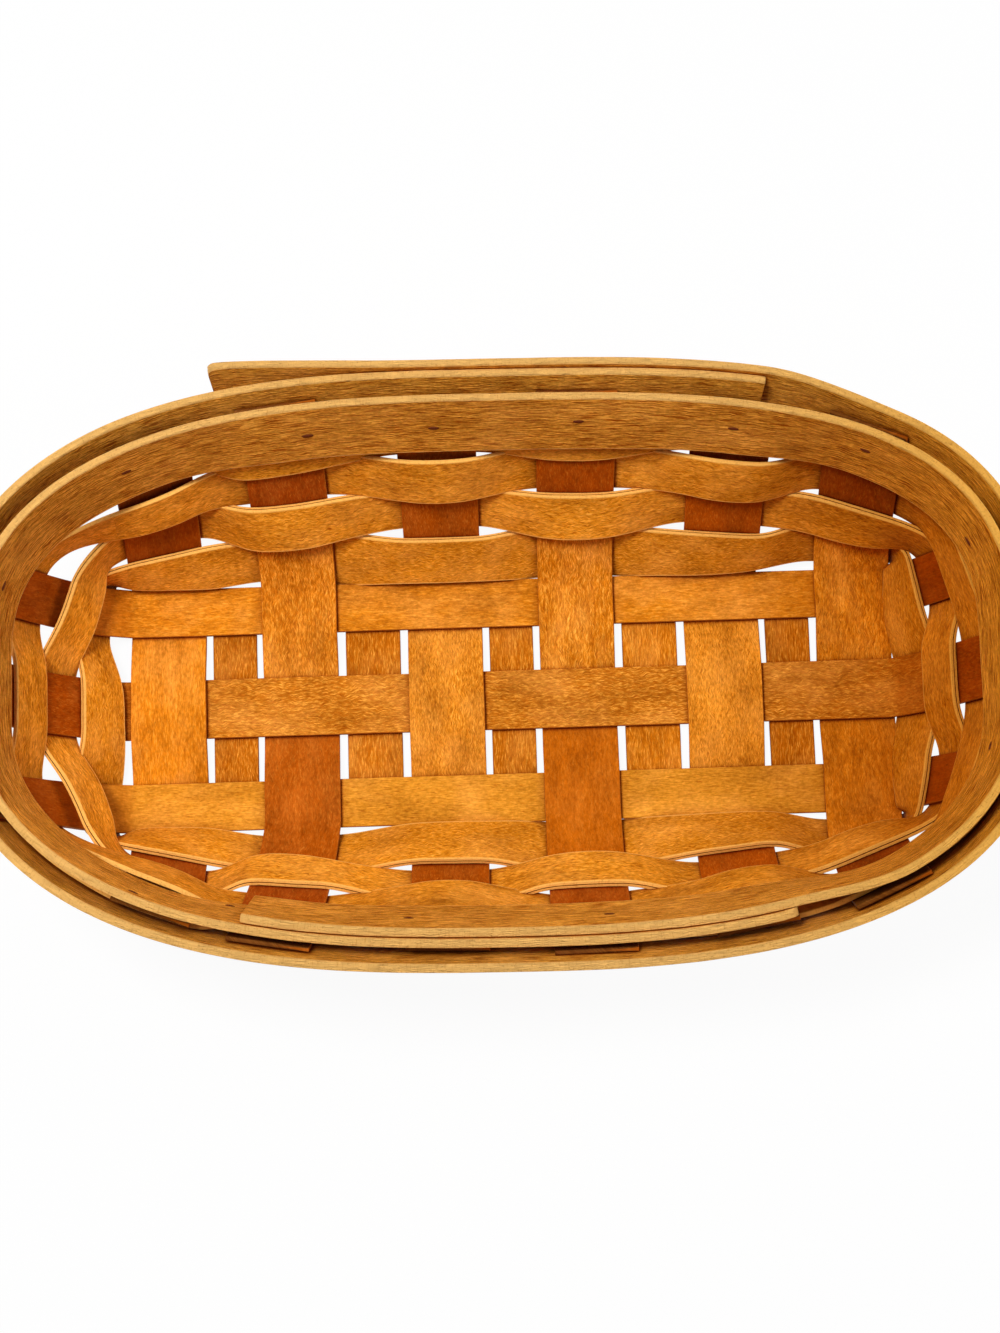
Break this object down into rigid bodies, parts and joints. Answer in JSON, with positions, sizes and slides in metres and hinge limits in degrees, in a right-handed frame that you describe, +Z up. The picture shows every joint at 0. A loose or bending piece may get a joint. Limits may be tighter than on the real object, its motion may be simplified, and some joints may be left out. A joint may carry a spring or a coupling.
{
  "type": "woven splint basket",
  "caption": "Shallow oval open basket of plaited wooden splints, with flared walls, a lapped hoop rim inside and out, and no handle.",
  "frame": {"origin": "on the ground, under the middle of the rim's oval", "axes": "+X along the length of the basket, towards the end whose middle splint starts outside the lowest weaver row; +Y to its back, where the outer rim hoop laps; +Z up out of the opening"},
  "size_m": [0.2908, 0.1675, 0.062],
  "materials": {
    "base_splint": "satin",
    "filler_wood": "satin",
    "weaver_wood": "satin",
    "rim_wood": "satin",
    "tack_steel": "satin"
  },
  "bodies": {
    "root": {"lengthwise_splint_back": "base_splint", "lengthwise_splint_middle": "base_splint", "lengthwise_splint_front": "base_splint", "crosswise_splint_a": "base_splint", "crosswise_splint_b": "base_splint", "crosswise_splint_c": "base_splint", "crosswise_splint_d": "base_splint", "crosswise_splint_e": "base_splint", "crosswise_splint_f": "base_splint", "filler_strip_ab": "filler_wood", "filler_strip_bc": "filler_wood", "filler_strip_cd": "filler_wood", "filler_strip_de": "filler_wood", "filler_strip_ef": "filler_wood", "weaver_row_1": "weaver_wood", "weaver_row_2": "weaver_wood", "weaver_row_3": "weaver_wood", "weaver_row_4": "weaver_wood", "rim_band_inner": "rim_wood", "rim_band_outer": "rim_wood"}
  },
  "joints": []
}
